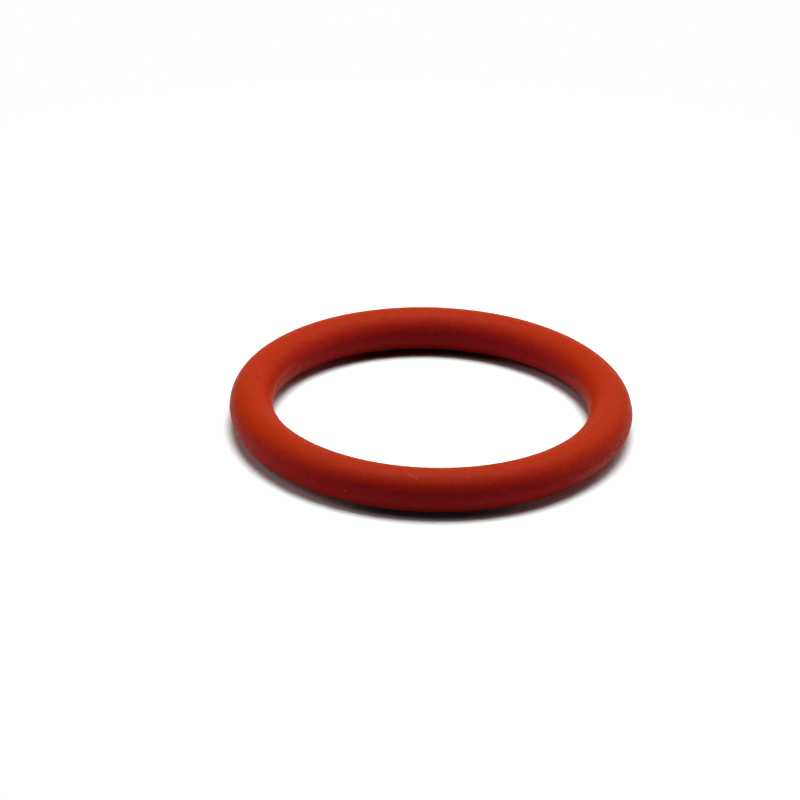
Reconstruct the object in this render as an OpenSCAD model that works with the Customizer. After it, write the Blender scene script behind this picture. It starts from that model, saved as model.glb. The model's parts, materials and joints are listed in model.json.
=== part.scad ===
// Moulded silicone O-ring: one round cord closed into a ring, lying flat.
// It is pressed in a two-part mould that splits on the ring's mid plane, so a fine rib
// of trimmed flash runs round its inner and its outer edge.
// Sizes are in millimetres. The origin is the ring's centre on the split plane, and
// +Z is the ring's axis.

/* [Ring] */
// Inside diameter, over the bare cord
inside_d = 38.7; // [12:0.1:120]
// Diameter of the cord's round section
cord_d = 5.3; // [2:0.05:8]

/* [Mould line] */
// How far the flash rib stands out of the ring's outer edge
outer_flash_h = 0.06; // [0.02:0.01:0.15]
// How far the flash rib stands into the ring's hole
inner_flash_h = 0.05; // [0.02:0.01:0.15]
// Width of the flat crest that trimming leaves on each rib
flash_crest_w = 0.16; // [0.08:0.02:0.3]
// Lean of the ribs' flanks away from the split plane, in degrees
flank_angle = 40; // [20:5:45]

/* [Hidden] */

// Every curve here is a true circle or arc, drawn with this many sides
$fn = 180;

cord_r = cord_d / 2;
// The cord's centre line runs on this radius round the axis
ring_r = inside_d / 2 + cord_r;
// The ribs' roots are buried this deep in the cord
flash_root = cord_r / 4;

// One flash rib in section, on the outer side of a cord centred on the origin
module flash_rib(height) {
    crest_x = cord_r + height;
    root_x = cord_r - flash_root;
    crest_y = flash_crest_w / 2;
    root_y = crest_y + (crest_x - root_x) * tan(flank_angle);
    polygon([
        [root_x, -root_y],
        [crest_x, -crest_y],
        [crest_x, crest_y],
        [root_x, root_y]
    ]);
}

// The moulded section: the round cord, with a rib on each end of the split plane
module ring_section() {
    circle(d = cord_d);
    flash_rib(outer_flash_h);
    rotate(180) flash_rib(inner_flash_h);
}

module o_ring() {
    color([0.74, 0.21, 0.1])
        rotate_extrude(convexity = 4)
            translate([ring_r, 0]) ring_section();
}

o_ring();
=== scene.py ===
"""A moulded silicone O-ring, lying on a white table top under soft studio light.

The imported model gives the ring's sizes. The ring is drawn again as one smooth piece, with the
mould's split line round it and the marks that trimming and handling left.

The ring's axis is Z and its mid plane is at height 0. Angles round it start at +X, and its front
is the side of -Y, from which the photograph was taken. Sizes in the classes are in millimetres,
angles in degrees and places in the picture in pixels. MM turns millimetres into Blender's metres.
"""

import json
import logging
import math
from collections.abc import Callable, Iterator
from contextlib import contextmanager
from dataclasses import dataclass
from enum import Enum
from functools import reduce

import bmesh
import bpy
from mathutils import Matrix, Vector


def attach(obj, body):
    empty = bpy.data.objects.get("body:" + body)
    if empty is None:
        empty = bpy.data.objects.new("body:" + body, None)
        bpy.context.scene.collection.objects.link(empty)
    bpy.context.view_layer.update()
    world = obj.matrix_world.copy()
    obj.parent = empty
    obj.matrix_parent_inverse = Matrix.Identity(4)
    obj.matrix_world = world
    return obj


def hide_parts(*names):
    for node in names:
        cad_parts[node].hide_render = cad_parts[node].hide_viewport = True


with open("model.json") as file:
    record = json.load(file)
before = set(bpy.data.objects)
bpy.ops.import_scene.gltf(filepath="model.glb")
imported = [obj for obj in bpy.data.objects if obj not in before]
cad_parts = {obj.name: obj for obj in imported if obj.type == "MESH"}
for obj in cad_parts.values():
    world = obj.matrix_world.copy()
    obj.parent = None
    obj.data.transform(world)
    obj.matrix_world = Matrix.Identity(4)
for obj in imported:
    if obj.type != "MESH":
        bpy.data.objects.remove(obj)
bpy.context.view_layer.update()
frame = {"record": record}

Socket = bpy.types.NodeSocket
Colour = tuple[float, float, float]
# From one value to another
Span = tuple[float, float]

MM = 0.001
NODE = "o_ring"
WHITE = (1.0, 1.0, 1.0, 1.0)
# Places that are less than this many millimetres apart count as one
TOLERANCE = 0.001
log = logging.getLogger("o_ring")


class Side(Enum):
    """The two walls of the ring, by the way they face."""

    INNER = -1
    OUTER = 1


def deselect_all() -> None:
    """Leaves object mode on and nothing selected."""
    if bpy.context.object and bpy.context.object.mode != "OBJECT":
        bpy.ops.object.mode_set(mode="OBJECT")
    bpy.ops.object.select_all(action="DESELECT")


def activate(piece: bpy.types.Object) -> None:
    """Selects one object alone and makes it the active one."""
    deselect_all()
    piece.select_set(True)
    bpy.context.view_layer.objects.active = piece


@contextmanager
def edit(piece: bpy.types.Object) -> Iterator[None]:
    """Holds one piece in edit mode, with nothing in its mesh selected.

    Args:
        piece: the mesh object to edit.
    """
    activate(piece)
    bpy.ops.object.mode_set(mode="EDIT")
    bpy.ops.mesh.select_mode(type="VERT")
    bpy.ops.mesh.select_all(action="DESELECT")
    yield
    bpy.ops.object.mode_set(mode="OBJECT")


def pick(piece: bpy.types.Object, test: Callable[[Vector], bool]) -> None:
    """Selects the vertices of a piece in edit mode by their place, and no others.

    Args:
        piece: the mesh object, in edit mode.
        test: says of a place, in metres, whether its vertex is wanted.
    """
    mesh = bmesh.from_edit_mesh(piece.data)
    for vertex in mesh.verts:
        vertex.select = test(vertex.co)
    mesh.select_flush_mode()
    bmesh.update_edit_mesh(piece.data)


def pick_faces(piece: bpy.types.Object, place: Vector, reach: float) -> None:
    """Selects the faces round a place, and no others.

    Args:
        piece: the mesh object, in edit mode.
        place: the middle of the patch, in metres.
        reach: how far from it a face's middle may be, in metres.
    """
    bpy.ops.mesh.select_all(action="DESELECT")
    mesh = bmesh.from_edit_mesh(piece.data)
    for face in mesh.faces:
        if (face.calc_center_median() - place).length < reach:
            face.select_set(True)
    bmesh.update_edit_mesh(piece.data)


def on_ring(radius: float, angle_deg: float, height: float = 0.0) -> Vector:
    """The place at that radius, angle round the ring and height, in the radius's unit."""
    angle = math.radians(angle_deg)
    return Vector((radius * math.cos(angle), radius * math.sin(angle), height))


def angle_of(place: Vector) -> float:
    """The angle round the ring at which a place lies, from 0 to 360 degrees."""
    return math.degrees(math.atan2(place.y, place.x)) % 360


class Field:
    """A number that varies over a surface: an output socket, with Python's operators."""

    def __init__(self, shader: "Shader", socket: Socket) -> None:
        """Keeps the socket and the shader that it belongs to."""
        self.shader = shader
        self.socket = socket

    def math(self, operation: str, *values: "Field | float") -> "Field":
        """Adds a Math node.

        Args:
            operation: the node's operation.
            values: its inputs, in order.

        Returns:
            What the node gives.
        """
        made = self.shader.node(
            "ShaderNodeMath", {"operation": operation}, dict(enumerate(values))
        )
        return Field(self.shader, made.outputs[0])

    def __add__(self, other: "Field | float") -> "Field":
        """Field + other."""
        return self.math("ADD", self, other)

    def __radd__(self, other: float) -> "Field":
        """Number + field."""
        return self.math("ADD", other, self)

    def __sub__(self, other: "Field | float") -> "Field":
        """Field - other."""
        return self.math("SUBTRACT", self, other)

    def __rsub__(self, other: float) -> "Field":
        """Number - field."""
        return self.math("SUBTRACT", other, self)

    def __mul__(self, other: "Field | float") -> "Field":
        """Field * other."""
        return self.math("MULTIPLY", self, other)

    def __rmul__(self, other: float) -> "Field":
        """Number * field."""
        return self.math("MULTIPLY", other, self)

    def away_from(self, value: float) -> "Field":
        """How far the field is from a value, whichever side it lies on."""
        return self.math("ABSOLUTE", self - value)

    def either(self, other: "Field") -> "Field":
        """The larger of two fields, so that either mask shows."""
        return self.math("MAXIMUM", self, other)

    def lifted(self, least: float) -> "Field":
        """This mask, squeezed to run from a least value up to 1 instead of from 0."""
        return self * (1 - least) + least

    def fade(self, span: Span, unit: float = 1.0) -> "Field":
        """Turns this field into a mask that falls smoothly from 1 to 0.

        Args:
            span: the value at which the mask is 1, and the value at which it is 0.
            unit: what the two values are multiples of.

        Returns:
            The mask.
        """
        full, gone = (value * unit for value in span)
        made = self.shader.node(
            "ShaderNodeMapRange",
            {"interpolation_type": "SMOOTHSTEP"},
            {"Value": self, "From Min": full, "From Max": gone, "To Min": 1.0, "To Max": 0.0},
        )
        return Field(self.shader, made.outputs["Result"])


@dataclass(frozen=True)
class Noise:
    """A soft noise: the size of its largest spots, and how many finer layers at what strength."""

    spot_size: float
    finer_layers: float
    finer_strength: float = 0.5


class Shader:
    """The node tree of one material or of the world."""

    def __init__(self, tree: bpy.types.NodeTree) -> None:
        """Empties the tree and keeps it."""
        tree.nodes.clear()
        self.tree = tree

    def node(
        self, kind: str, settings: dict | None = None, inputs: dict | None = None
    ) -> bpy.types.Node:
        """Adds a node of any type.

        Args:
            kind: the node's type.
            settings: the node's own settings, which are set first.
            inputs: its sockets by name or number, each with a value, a Field or a socket.

        Returns:
            The node.
        """
        made = self.tree.nodes.new(kind)
        for name, value in (settings or {}).items():
            setattr(made, name, value)
        for name, value in (inputs or {}).items():
            if isinstance(value, Field):
                value = value.socket
            if isinstance(value, Socket):
                self.tree.links.new(value, made.inputs[name])
            else:
                made.inputs[name].default_value = value
        return made

    def places(self) -> Socket:
        """The surface's own coordinates, in millimetres."""
        coordinates = self.node("ShaderNodeTexCoord")
        scaled = self.node(
            "ShaderNodeVectorMath",
            {"operation": "SCALE"},
            {0: coordinates.outputs["Object"], "Scale": 1 / MM},
        )
        return scaled.outputs[0]

    def noise(self, places: Socket, kind: Noise) -> Field:
        """Adds a soft noise, from 0 to 1 about a mean of 0.5.

        Args:
            places: coordinates in millimetres.
            kind: how coarse the noise is.

        Returns:
            The noise.
        """
        made = self.node(
            "ShaderNodeTexNoise",
            {"noise_dimensions": "3D"},
            {
                "Vector": places,
                "Scale": 1 / kind.spot_size,
                "Detail": kind.finer_layers,
                "Roughness": kind.finer_strength,
            },
        )
        return Field(self, made.outputs[0])

    def height(self, places: Socket) -> Field:
        """How high each place is above the ring's mid plane, in millimetres."""
        made = self.node("ShaderNodeSeparateXYZ", {}, {0: places})
        return Field(self, made.outputs["Z"])

    def across(self, places: Socket) -> Field:
        """How far each place is from the ring's axis, in millimetres."""
        flat = self.node(
            "ShaderNodeVectorMath", {"operation": "MULTIPLY"}, {0: places, 1: (1, 1, 0)}
        )
        made = self.node(
            "ShaderNodeVectorMath", {"operation": "LENGTH"}, {0: flat.outputs[0]}
        )
        return Field(self, made.outputs["Value"])

    def sideways(self, places: Socket) -> Field:
        """How far each place is to the left or right of the ring's axis, in millimetres."""
        made = self.node("ShaderNodeSeparateXYZ", {}, {0: places})
        return Field(self, made.outputs["X"]).away_from(0.0)

    def distance(self, places: Socket, spot: Vector) -> Field:
        """How far each place is from a spot, in millimetres."""
        made = self.node(
            "ShaderNodeVectorMath", {"operation": "DISTANCE"}, {0: places, 1: tuple(spot)}
        )
        return Field(self, made.outputs["Value"])

    def distance_to_line(self, places: Socket, start: Vector, end: Vector) -> Field:
        """How far each place is from a straight line between two spots.

        Args:
            places: coordinates in millimetres.
            start: one end of the line.
            end: its other end.

        Returns:
            The distance, in millimetres.
        """
        along = end - start
        offset = self.node(
            "ShaderNodeVectorMath", {"operation": "SUBTRACT"}, {0: places, 1: tuple(start)}
        )
        share = self.node(
            "ShaderNodeVectorMath",
            {"operation": "DOT_PRODUCT"},
            {0: offset.outputs[0], 1: tuple(along / along.length_squared)},
        )
        held = self.node("ShaderNodeClamp", {}, {"Value": share.outputs["Value"]})
        nearest = self.node(
            "ShaderNodeVectorMath",
            {"operation": "SCALE"},
            {0: tuple(along), "Scale": held.outputs[0]},
        )
        made = self.node(
            "ShaderNodeVectorMath",
            {"operation": "DISTANCE"},
            {0: offset.outputs[0], 1: nearest.outputs[0]},
        )
        return Field(self, made.outputs["Value"])

    def mix(self, share: Field, colour: Colour | Socket, other: Colour | Socket) -> Socket:
        """Blends two colours.

        Args:
            share: 0 for the first colour and 1 for the other.
            colour: the first colour.
            other: the other one.

        Returns:
            The blended colour.
        """
        made = self.node("ShaderNodeMix", {"data_type": "RGBA"}, {"Factor": share})
        sockets = [socket for socket in made.inputs if socket.type == "RGBA"]
        for socket, value in zip(sockets, (colour, other)):
            if isinstance(value, Socket):
                self.tree.links.new(value, socket)
            else:
                socket.default_value = (*value, 1.0)
        return next(socket for socket in made.outputs if socket.type == "RGBA")

    def camera_sees(self) -> Field:
        """1 where the camera looks straight or through a reflection, and 0 for stray light."""
        rays = self.node("ShaderNodeLightPath")
        seen = Field(self, rays.outputs["Is Camera Ray"])
        for name in ("Is Glossy Ray", "Is Transmission Ray"):
            seen = seen.either(Field(self, rays.outputs[name]))
        return seen


@dataclass(frozen=True)
class Spot:
    """A small round mark on the cord, by its angles round the ring and round the section."""

    ring_deg: float
    section_deg: float
    radius: float


@dataclass(frozen=True)
class Scratch:
    """A straight scuff on the cord, between two angles round the ring and the section."""

    ring_deg: Span
    section_deg: Span
    width: float


@dataclass(frozen=True)
class Band:
    """A stretch of one wall along the ring, at one height above the mid plane."""

    side: Side
    middle_deg: float
    reach: float
    height: float
    half_width: float


@dataclass(frozen=True)
class SiliconeFinish:
    """Orange-red silicone, satin as it leaves the mould, with pale powder in its grain and
    painted light and shade in its colour.

    Each mask's span runs from where the mask is full to where it is gone.
    """

    # The clean skin, with painted light and shade: the orange of its lit upper side, the crimson
    # of its shaded flanks at front and back, and those left and right
    colour: Colour = (0.54, 0.014, 0.003)
    shaded_flank_colour: Colour = (0.57, 0.010, 0.026)
    shaded_side_colour: Colour = (0.57, 0.011, 0.012)
    lit_upper_heights: Span = (1.7, 0.4)
    front_shade_reach: Span = (8.0, 21.0)
    # Where a noise is high, and where it is low
    hills: Span = (0.65, 0.35)
    hollows: Span = (0.35, 0.65)
    mottle: Noise = Noise(2.4, 2.0)
    mottle_share: float = 0.25
    patches: Noise = Noise(0.8, 3.0, 0.65)
    dull_colour: Colour = (0.35, 0.011, 0.005)
    dull_share: float = 0.5
    # A pale colour: painted light that grows with height over the lit top, and pale powder in the
    # hollows of the fine grain
    grain: Noise = Noise(0.24, 2.0, 0.6)
    powder_and_light_colour: Colour = (0.58, 0.058, 0.003)
    painted_light_heights: Span = (2.5, 1.2)
    painted_light_share: float = 0.3
    grain_bloom: float = 0.2
    # Relief
    grain_depth: float = 0.006
    waves: Noise = Noise(1.6, 1.0)
    wave_depth: float = 0.02
    # Gloss: patches swing the roughness about its mean, and scuffs add to it
    roughness: float = 0.55
    patch_roughness: float = 0.3
    scuff_roughness: float = 0.2
    ior: float = 1.43
    specular: float = 0.07
    sheen: float = 0.08
    sheen_roughness: float = 0.4
    sheen_tint: Colour = (1.0, 0.7, 0.1)
    # Marks, with their edges in shares of a mark's radius, width or reach
    scuffed_colour: Colour = (0.66, 0.21, 0.12)
    # Painted shade: the dark line just below the outer split line
    split_shade_colour: Colour = (0.33, 0.009, 0.005)
    speck_colour: Colour = (0.10, 0.008, 0.004)
    spot_edge: Span = (0.5, 1.2)
    scratch_edge: Span = (0.2, 1.0)
    band_edge: Span = (0.3, 1.0)
    band_run_out: Span = (0.5, 1.0)
    # A band ends over this distance to either side of the cord's centre line
    wall_edge: float = 1.0
    scratch_share: float = 0.4
    crumb_share: float = 0.6
    rub_share: float = 0.25
    # The fine grain breaks up what is scuffed, and leaves at least this share of it
    scuff_grain: Span = (0.4, 0.6)
    least_scuff: float = 0.5

    def material(self, ring: "ORing") -> bpy.types.Material:
        """Makes the finish for a ring.

        Args:
            ring: the ring, which says where its marks are.

        Returns:
            The material.
        """
        made = bpy.data.materials.new("orange_red_silicone")
        made.use_nodes = True
        shader = Shader(made.node_tree)
        places = shader.places()
        patches = shader.noise(places, self.patches)
        grain = shader.noise(places, self.grain)
        scuffs = self._scuffs(shader, places, ring, grain)
        specks = self._spots(shader, places, ring, ring.specks)
        # Painted shade: a dark line under the outer split line, where the rib's underside turns
        # from the light
        split = self._bands(shader, places, ring, ring.split_lines)
        colour = self._skin(shader, places, patches, grain)
        colour = shader.mix(scuffs, colour, self.scuffed_colour)
        colour = shader.mix(split, colour, self.split_shade_colour)
        colour = shader.mix(specks, colour, self.speck_colour)
        least = self.roughness - self.patch_roughness / 2
        roughness = patches * self.patch_roughness + least + scuffs * self.scuff_roughness
        relief = grain * self.grain_depth + shader.noise(places, self.waves) * self.wave_depth
        bump = shader.node(
            "ShaderNodeBump", {}, {"Strength": 1.0, "Distance": MM, "Height": relief}
        )
        surface = shader.node(
            "ShaderNodeBsdfPrincipled",
            {},
            {
                "Base Color": colour,
                "Roughness": roughness,
                "IOR": self.ior,
                "Specular IOR Level": self.specular,
                "Sheen Weight": self.sheen,
                "Sheen Roughness": self.sheen_roughness,
                "Sheen Tint": (*self.sheen_tint, 1.0),
                "Normal": bump.outputs[0],
            },
        )
        shader.node("ShaderNodeOutputMaterial", {}, {"Surface": surface.outputs[0]})
        return made

    def _skin(self, shader: Shader, places: Socket, patches: Field, grain: Field) -> Socket:
        """Colours the clean skin: red flanks and an orange, paler top as painted light and shade,
        dull patches, and pale powder in the grain.

        Args:
            shader: the material's tree.
            places: coordinates in millimetres.
            patches: the noise whose hills are dull.
            grain: the fine grain, whose hollows hold pale powder.

        Returns:
            The colour.
        """
        height = shader.height(places)
        mottle = shader.noise(places, self.mottle).fade(self.hills) * self.mottle_share
        # Painted light and shade: the upper side takes the orange of the lit skin, the flanks the
        # crimson of the shaded skin, deepest at front and back
        upper = height.fade(self.lit_upper_heights) - mottle
        front = shader.sideways(places).fade(self.front_shade_reach)
        dull = patches.fade(self.hills) * self.dull_share
        # Painted light: the pale colour grows with height over the lit top, and in the grain's
        # hollows it is pale powder
        painted_light = height.fade(self.painted_light_heights) * self.painted_light_share
        powder_and_light = painted_light + grain.fade(self.hollows) * self.grain_bloom
        shaded_flank = shader.mix(front, self.shaded_side_colour, self.shaded_flank_colour)
        colour = shader.mix(upper, shaded_flank, self.colour)
        colour = shader.mix(dull, colour, self.dull_colour)
        return shader.mix(powder_and_light, colour, self.powder_and_light_colour)

    def _spots(
        self, shader: Shader, places: Socket, ring: "ORing", spots: tuple[Spot, ...]
    ) -> Field:
        """Masks round spots, with soft edges.

        Args:
            shader: the material's tree.
            places: coordinates in millimetres.
            ring: the ring that they are on.
            spots: the spots.

        Returns:
            1 inside a spot and 0 away from them all.
        """
        masks = []
        for spot in spots:
            middle = ring.on_cord(spot.ring_deg, spot.section_deg)
            masks.append(shader.distance(places, middle).fade(self.spot_edge, spot.radius))
        return reduce(Field.either, masks)

    def _bands(
        self, shader: Shader, places: Socket, ring: "ORing", bands: tuple[Band, ...]
    ) -> Field:
        """Masks bands along one wall each, which run out softly at both ends.

        Args:
            shader: the material's tree.
            places: coordinates in millimetres.
            ring: the ring that they are on.
            bands: the bands.

        Returns:
            1 inside a band and 0 away from them all.
        """
        height, across = shader.height(places), shader.across(places)
        masks = []
        for band in bands:
            outward = band.side.value
            edge = outward * self.wall_edge
            middle = on_ring(ring.ring_r + outward * ring.cord_r, band.middle_deg, band.height)
            line = height.away_from(band.height).fade(self.band_edge, band.half_width)
            wall = across.fade((ring.ring_r + edge, ring.ring_r - edge))
            near = shader.distance(places, middle).fade(self.band_run_out, band.reach)
            masks.append(line * wall * near)
        return reduce(Field.either, masks)

    def _scuffs(self, shader: Shader, places: Socket, ring: "ORing", grain: Field) -> Field:
        """Masks the places where the skin is scraped and pale.

        Args:
            shader: the material's tree.
            places: coordinates in millimetres.
            ring: the ring that they are on.
            grain: the fine grain, which breaks the masks up.

        Returns:
            How strongly the skin is scraped, from 0 up to the largest share.
        """
        scratch = ring.scratch
        start, end = (
            ring.on_cord(*angles) for angles in zip(scratch.ring_deg, scratch.section_deg)
        )
        away = shader.distance_to_line(places, start, end)
        line = away.fade(self.scratch_edge, scratch.width) * self.scratch_share
        spots = self._spots(shader, places, ring, ring.crumbs + ring.nicks) * self.crumb_share
        rubbed = self._bands(shader, places, ring, ring.rubs) * self.rub_share
        patchy = grain.fade(self.scuff_grain).lifted(self.least_scuff)
        return line.either(spots).either(rubbed) * patchy


@dataclass(frozen=True)
class TableTopFinish:
    """Plain white table top that photographs as clean white and still takes a shadow."""

    # How white it is to stray light, and to the camera
    colour: float = 0.40
    seen_colour: Colour = (1.44, 1.57, 1.55)
    # Shade beside the line on which the ring touches, with a share of it left and right
    contact_colour: Colour = (0.17, 0.15, 0.18)
    contact_reach: Span = (1.7, 3.25)
    front_shade_reach: Span = (4.0, 17.0)
    side_share: float = 0.3
    # Distances from the ring's axis between which it turns plain white
    shadow_reach: Span = (60.0, 110.0)

    def material(self, contact_r: float) -> bpy.types.Material:
        """Makes the finish: matt, whiter to the camera, and plain white far from the ring.

        Args:
            contact_r: radius of the line on which the ring touches the table top.

        Returns:
            The material.
        """
        made = bpy.data.materials.new("white_table_top")
        made.use_nodes = True
        shader = Shader(made.node_tree)
        places = shader.places()
        seen = shader.camera_sees()
        across = shader.across(places)
        front = shader.sideways(places).fade(self.front_shade_reach)
        contact = across.away_from(contact_r).fade(self.contact_reach)
        contact = contact * front.lifted(self.side_share)
        white = shader.mix(contact, self.seen_colour, self.contact_colour)
        white = shader.mix(seen, (self.colour,) * 3, white)
        matt = shader.node("ShaderNodeBsdfDiffuse", {}, {"Color": white})
        plain = shader.node("ShaderNodeEmission", {}, {"Color": WHITE, "Strength": 1.0})
        far = seen * (1 - across.fade(self.shadow_reach))
        surface = shader.node(
            "ShaderNodeMixShader", {}, {0: far, 1: matt.outputs[0], 2: plain.outputs[0]}
        )
        shader.node("ShaderNodeOutputMaterial", {}, {"Surface": surface.outputs[0]})
        return made


@dataclass
class ORing:
    """The ring itself: a round cord with a fine rib of trimmed flash on each wall."""

    inner_crest_r: float
    outer_crest_r: float
    crest_w: float
    inner_flash: float = 0.05
    outer_flash: float = 0.06
    flank_deg: float = 40.0
    # The width of a rib's foot is found in this many rounds, each closer than the last
    foot_rounds: int = 8
    section_steps: int = 96
    ring_steps: int = 720
    # A cut goes through a corner of the section that is this near
    cut_snap: float = 1e-4
    # Faces that meet at less than this angle are shaded as one smooth surface
    smooth_deg: float = 70.0
    # Stretches where a rib is trimmed closer, in several cuts of one depth. Each cut starts and
    # ends a degree further in than the one before.
    outer_trimmed: Span = (140.0, 336.0)
    inner_trimmed: Span = (5.0, 150.0)
    trim_cuts: int = 5
    trim_depth: float = 0.01
    # Torn crumbs of flash, and the width of their tops in shares of their feet
    crumb_height: float = 0.07
    crumb_taper: float = 0.6
    crumbs: tuple[Spot, ...] = (
        Spot(345.0, 9.0, 0.18),
        Spot(340.6, 4.0, 0.18),
        Spot(335.6, 8.0, 0.20),
        Spot(333.0, -1.0, 0.34),
        Spot(331.4, 2.0, 0.24),
        Spot(328.0, 2.0, 0.20),
        Spot(322.7, -13.0, 0.26),
        Spot(320.9, -4.0, 0.28),
    )
    lump: Spot = Spot(201.6, 139.0, 0.16)
    # Marks that only the finish shows
    nicks: tuple[Spot, ...] = (Spot(246.0, -3.9, 0.14),)
    specks: tuple[Spot, ...] = (Spot(24.5, 90.5, 0.10), Spot(125.5, 162.7, 0.12))
    scratch: Scratch = Scratch((263.5, 266.4), (68.8, 56.1), 0.15)
    # Painted shade under the outer split line, where the rib's underside turns from the light
    split_lines: tuple[Band, ...] = (Band(Side.OUTER, 343.0, 6.5, -0.2, 0.16),)
    rubs: tuple[Band, ...] = (
        Band(Side.OUTER, 336.0, 11.0, -0.7, 1.0),
        Band(Side.INNER, 174.0, 9.0, 0.5, 0.5),
        Band(Side.INNER, 171.0, 11.0, -0.75, 0.8),
    )

    @classmethod
    def from_frame(cls, record: dict) -> "ORing":
        """Reads the ring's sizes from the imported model.

        Args:
            record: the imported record, whose two mounts are the crests of the ribs.

        Returns:
            The ring.
        """
        mounts = {mount["name"]: mount["dims"] for mount in record["mounts"]}
        return cls(
            inner_crest_r=mounts["inner_edge"]["r_mm"],
            outer_crest_r=mounts["outer_edge"]["r_mm"],
            crest_w=mounts["outer_edge"]["length_mm"],
        )

    @property
    def inner_r(self) -> float:
        """Radius of the bore beside its rib."""
        return self.inner_crest_r + self.inner_flash

    @property
    def outer_r(self) -> float:
        """Radius of the outer wall beside its rib."""
        return self.outer_crest_r - self.outer_flash

    @property
    def cord_r(self) -> float:
        """Radius of the cord."""
        return (self.outer_r - self.inner_r) / 2

    @property
    def ring_r(self) -> float:
        """Radius of the cord's centre line round the ring's axis."""
        return (self.outer_r + self.inner_r) / 2

    def on_cord(self, ring_deg: float, section_deg: float, proud: float = 0.0) -> Vector:
        """Finds a place on the cord.

        Args:
            ring_deg: the angle round the ring, from +X.
            section_deg: the angle round the section, from the outer wall upwards.
            proud: how far out of the surface the place is.

        Returns:
            The place, in millimetres.
        """
        reach, turn = self.cord_r + proud, math.radians(section_deg)
        return on_ring(self.ring_r + reach * math.cos(turn), ring_deg, reach * math.sin(turn))

    def _crest_r(self, side: Side) -> float:
        """Radius of one rib's crest."""
        return self.outer_crest_r if side is Side.OUTER else self.inner_crest_r

    def _foot_half(self, flash: float) -> float:
        """Works out half the width of a rib where it meets the cord.

        Args:
            flash: how far the rib stands out.

        Returns:
            Half the width, in millimetres.
        """
        lean = math.tan(math.radians(self.flank_deg))
        half = self.crest_w / 2
        for _ in range(self.foot_rounds):
            sunk = self.cord_r - math.sqrt(self.cord_r**2 - half**2)
            half = self.crest_w / 2 + (flash + sunk) * lean
        return half

    def _on_crest(self, side: Side) -> Callable[[Vector], bool]:
        """Makes a test for the vertices of one rib's crest."""
        middle, reach = self.ring_r * MM, (self.crest_w / 2 + TOLERANCE) * MM
        return lambda co: abs(co.z) < reach and side.value * (co.xy.length - middle) > 0

    def _draw_section(self) -> bpy.types.Object:
        """Draws the cord's round section in the XZ plane, at the ring's radius.

        Returns:
            The section's outline, with its place in its mesh.
        """
        deselect_all()
        bpy.ops.mesh.primitive_circle_add(
            vertices=self.section_steps,
            radius=self.cord_r * MM,
            location=(self.ring_r * MM, 0, 0),
            rotation=(math.pi / 2, 0, 0),
        )
        piece = bpy.context.object
        bpy.ops.object.transform_apply(location=True, rotation=True, scale=True)
        return piece

    def _raise_rib(self, piece: bpy.types.Object, side: Side) -> None:
        """Cuts the section at a rib's edges and flattens the rib's crest to its radius.

        Args:
            piece: the section's outline.
            side: the wall that gets the rib.
        """
        flash = self.inner_flash if side is Side.INNER else self.outer_flash
        foot, half = self._foot_half(flash), self.crest_w / 2
        for height in (-foot, -half, half, foot):
            pick(piece, lambda co: side.value * (co.x - self.ring_r * MM) > 0)
            bpy.ops.mesh.bisect(
                plane_co=(0, 0, height * MM), plane_no=(0, 0, 1), threshold=self.cut_snap * MM
            )
        pick(piece, self._on_crest(side))
        bpy.ops.transform.resize(
            value=(0, 1, 1), center_override=(self._crest_r(side) * MM, 0, 0)
        )

    def _spin(self, piece: bpy.types.Object) -> None:
        """Spins the section once round the ring's axis and closes the seam."""
        bpy.ops.mesh.select_all(action="SELECT")
        bpy.ops.mesh.spin(
            steps=self.ring_steps, angle=math.tau, center=(0, 0, 0), axis=(0, 0, 1)
        )
        bpy.ops.mesh.select_all(action="SELECT")
        bpy.ops.mesh.remove_doubles(threshold=TOLERANCE * MM)
        bpy.ops.mesh.normals_make_consistent(inside=False)

    def _trim_rib(self, piece: bpy.types.Object, side: Side, start: float, end: float) -> None:
        """Trims a rib closer to the cord between two angles, with ends that run out softly.

        Args:
            piece: the ring.
            side: the wall whose rib is trimmed.
            start: the angle round the ring at which the trimming starts.
            end: the angle at which it ends.
        """
        crest = self._on_crest(side)
        share = 1 - side.value * self.trim_depth / self._crest_r(side)
        for cut in range(self.trim_cuts):
            pick(piece, lambda co: crest(co) and start + cut < angle_of(co) < end - cut)
            bpy.ops.transform.resize(value=(share, share, 1), center_override=(0, 0, 0))

    def _pull_crumb(self, piece: bpy.types.Object, crumb: Spot) -> None:
        """Pulls a torn crumb of silicone out of the surface.

        Args:
            piece: the ring.
            crumb: where it is, and how large.
        """
        foot = self.on_cord(crumb.ring_deg, crumb.section_deg)
        tip = self.on_cord(crumb.ring_deg, crumb.section_deg, self.crumb_height)
        pick_faces(piece, foot * MM, crumb.radius * MM)
        bpy.ops.mesh.extrude_region_move(
            TRANSFORM_OT_translate={"value": tuple((tip - foot) * MM)}
        )
        bpy.ops.transform.resize(
            value=(self.crumb_taper,) * 3, center_override=tuple(tip * MM)
        )

    def build(self) -> bpy.types.Object:
        """Models the ring and dresses it.

        Returns:
            The finished piece, riding on the root body.
        """
        piece = self._draw_section()
        with edit(piece):
            for side in Side:
                self._raise_rib(piece, side)
            self._spin(piece)
            self._trim_rib(piece, Side.OUTER, *self.outer_trimmed)
            self._trim_rib(piece, Side.INNER, *self.inner_trimmed)
            for crumb in (*self.crumbs, self.lump):
                self._pull_crumb(piece, crumb)
        piece.name = "moulded_ring"
        activate(piece)
        bpy.ops.object.shade_smooth_by_angle(angle=math.radians(self.smooth_deg))
        piece.data.materials.append(SiliconeFinish().material(self))
        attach(piece, "root")
        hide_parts(NODE)
        return piece


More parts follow.
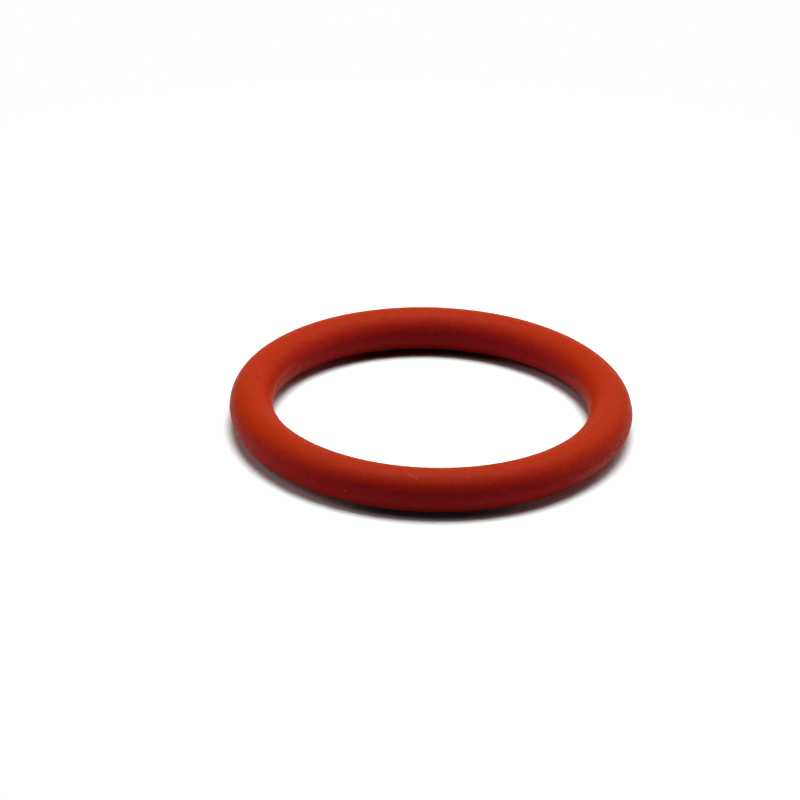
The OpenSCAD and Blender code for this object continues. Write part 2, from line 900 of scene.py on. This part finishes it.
@dataclass(frozen=True)
class Panel:
    """A soft lamp: a glowing rectangle that faces the ring's centre, with its power in watts."""

    name: str
    centre: tuple[float, float, float]
    size: tuple[float, float]
    power: float

    def light(self) -> bpy.types.Object:
        """Hangs the lamp in the studio.

        Returns:
            The lamp.
        """
        deselect_all()
        place = Vector(self.centre)
        turn = (-place).to_track_quat("-Z", "Y").to_euler()
        bpy.ops.object.light_add(type="AREA", location=place * MM, rotation=turn)
        lamp = bpy.context.object
        lamp.name = lamp.data.name = self.name
        lamp.data.shape = "RECTANGLE"
        lamp.data.size, lamp.data.size_y = (side * MM for side in self.size)
        lamp.data.energy = self.power
        lamp.visible_camera = False
        return lamp


@dataclass(frozen=True)
class Studio:
    """The table top, the lamps and the room round them."""

    floor_z: float
    contact_r: float
    floor_side: float = 6000.0
    room_light: float = 0.01
    panels: tuple[Panel, ...] = (
        Panel("lamp_top", (20, 110, 425), (300, 200), 1.68),
        Panel("lamp_back_right", (250, 250, 280), (180, 180), 0.26),
        Panel("lamp_left", (-318, 0, 318), (180, 180), 0.12),
        Panel("lamp_low_right", (447, -47, 50), (180, 90), 0.27),
        Panel("lamp_low_left", (-446, -50, 50), (180, 90), 0.30),
        Panel("lamp_low_back", (0, 448, 47), (240, 90), 0.10),
    )

    def build(self) -> None:
        """Sets up the studio."""
        deselect_all()
        bpy.ops.mesh.primitive_plane_add(
            size=self.floor_side * MM, location=(0, 0, self.floor_z * MM)
        )
        floor = bpy.context.object
        floor.name = "table_top"
        floor.data.materials.append(TableTopFinish().material(self.contact_r))
        for panel in self.panels:
            panel.light()
        self._light_room()

    def _light_room(self) -> None:
        """Gives the room a little light, and a white wall to the camera."""
        world = bpy.data.worlds.new("white_room")
        world.use_nodes = True
        shader = Shader(world.node_tree)
        rays = shader.node("ShaderNodeLightPath")
        strength = Field(shader, rays.outputs["Is Camera Ray"]).lifted(self.room_light)
        background = shader.node(
            "ShaderNodeBackground", {}, {"Color": WHITE, "Strength": strength}
        )
        shader.node("ShaderNodeOutputWorld", {}, {"Surface": background.outputs[0]})
        bpy.context.scene.world = world


@dataclass(frozen=True)
class PhotoCamera:
    """The camera as the photograph was taken, with a long lens from above the near edge."""

    lens: float = 225.0
    sensor: float = 36.0
    down_deg: float = 26.678
    roll_deg: float = 1.535
    distance: float = 612.58
    # Where the ring's centre is in the picture, from the middle of the frame
    right_px: float = 30.906
    below_px: float = 6.330
    frame_px: float = 800.0
    # Nothing nearer or farther than this is seen
    clip: Span = (10.0, 20000.0)

    def build(self) -> bpy.types.Object:
        """Makes the camera and looks through it.

        Returns:
            The camera, with the ring's centre at its place in the photograph.
        """
        deselect_all()
        bpy.ops.object.camera_add()
        camera = bpy.context.object
        camera.data.lens = self.lens
        camera.data.sensor_width = self.sensor
        camera.data.clip_start, camera.data.clip_end = (limit * MM for limit in self.clip)
        tilt = Matrix.Rotation(math.radians(90 - self.down_deg), 4, "X")
        turn = tilt @ Matrix.Rotation(math.radians(self.roll_deg), 4, "Z")
        spread = self.sensor / self.lens / self.frame_px * self.distance
        ring = Vector((self.right_px * spread, -self.below_px * spread, -self.distance))
        camera.matrix_world = Matrix.Translation(turn @ -ring * MM) @ turn
        bpy.context.scene.camera = camera
        return camera


def main() -> None:
    """Builds the ring, the studio and the camera."""
    logging.basicConfig(level=logging.INFO, format="%(message)s")
    bpy.context.scene.view_settings.view_transform = "Standard"
    ring = ORing.from_frame(frame["record"])
    piece = ring.build()
    log.info("%s: %d faces", piece.name, len(piece.data.polygons))
    Studio(floor_z=-ring.cord_r, contact_r=ring.ring_r).build()
    PhotoCamera().build()


if __name__ == "__main__":
    main()
